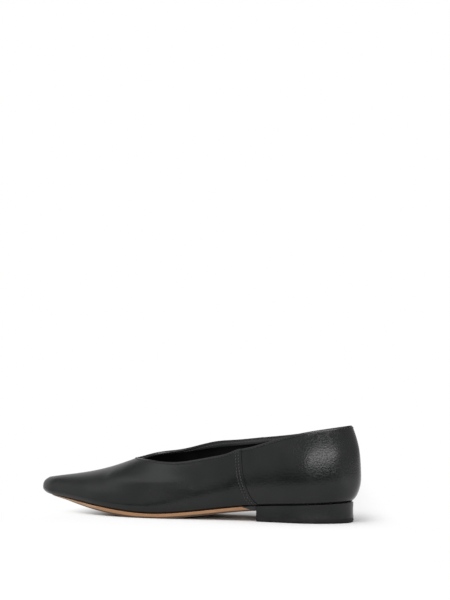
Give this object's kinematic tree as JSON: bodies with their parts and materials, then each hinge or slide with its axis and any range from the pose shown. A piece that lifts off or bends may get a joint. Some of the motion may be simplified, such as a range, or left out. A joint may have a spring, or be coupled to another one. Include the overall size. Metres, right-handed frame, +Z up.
{
  "type": "ballet flat",
  "caption": "Low pointed slip-on shoe with a smooth leather upper, a lapped side seam, a thin leather sole with toe spring and a low block heel.",
  "frame": {"origin": "middle of the shoe's bounding box, on the floor that it stands on", "axes": "+X from heel to toe, +Y to the outer side of the foot, +Z up"},
  "size_m": [0.2676, 0.0734, 0.0714],
  "materials": {
    "upper": "smooth black leather with a soft sheen",
    "insole": "matt black lining leather",
    "outsole": "natural tan sole leather",
    "heel": "black leather cover with a soft sheen",
    "top_piece": "matt black rubber"
  },
  "bodies": {
    "root": {"upper": "upper", "insole": "insole", "outsole": "outsole", "heel": "heel", "top_piece": "top_piece"}
  },
  "joints": []
}
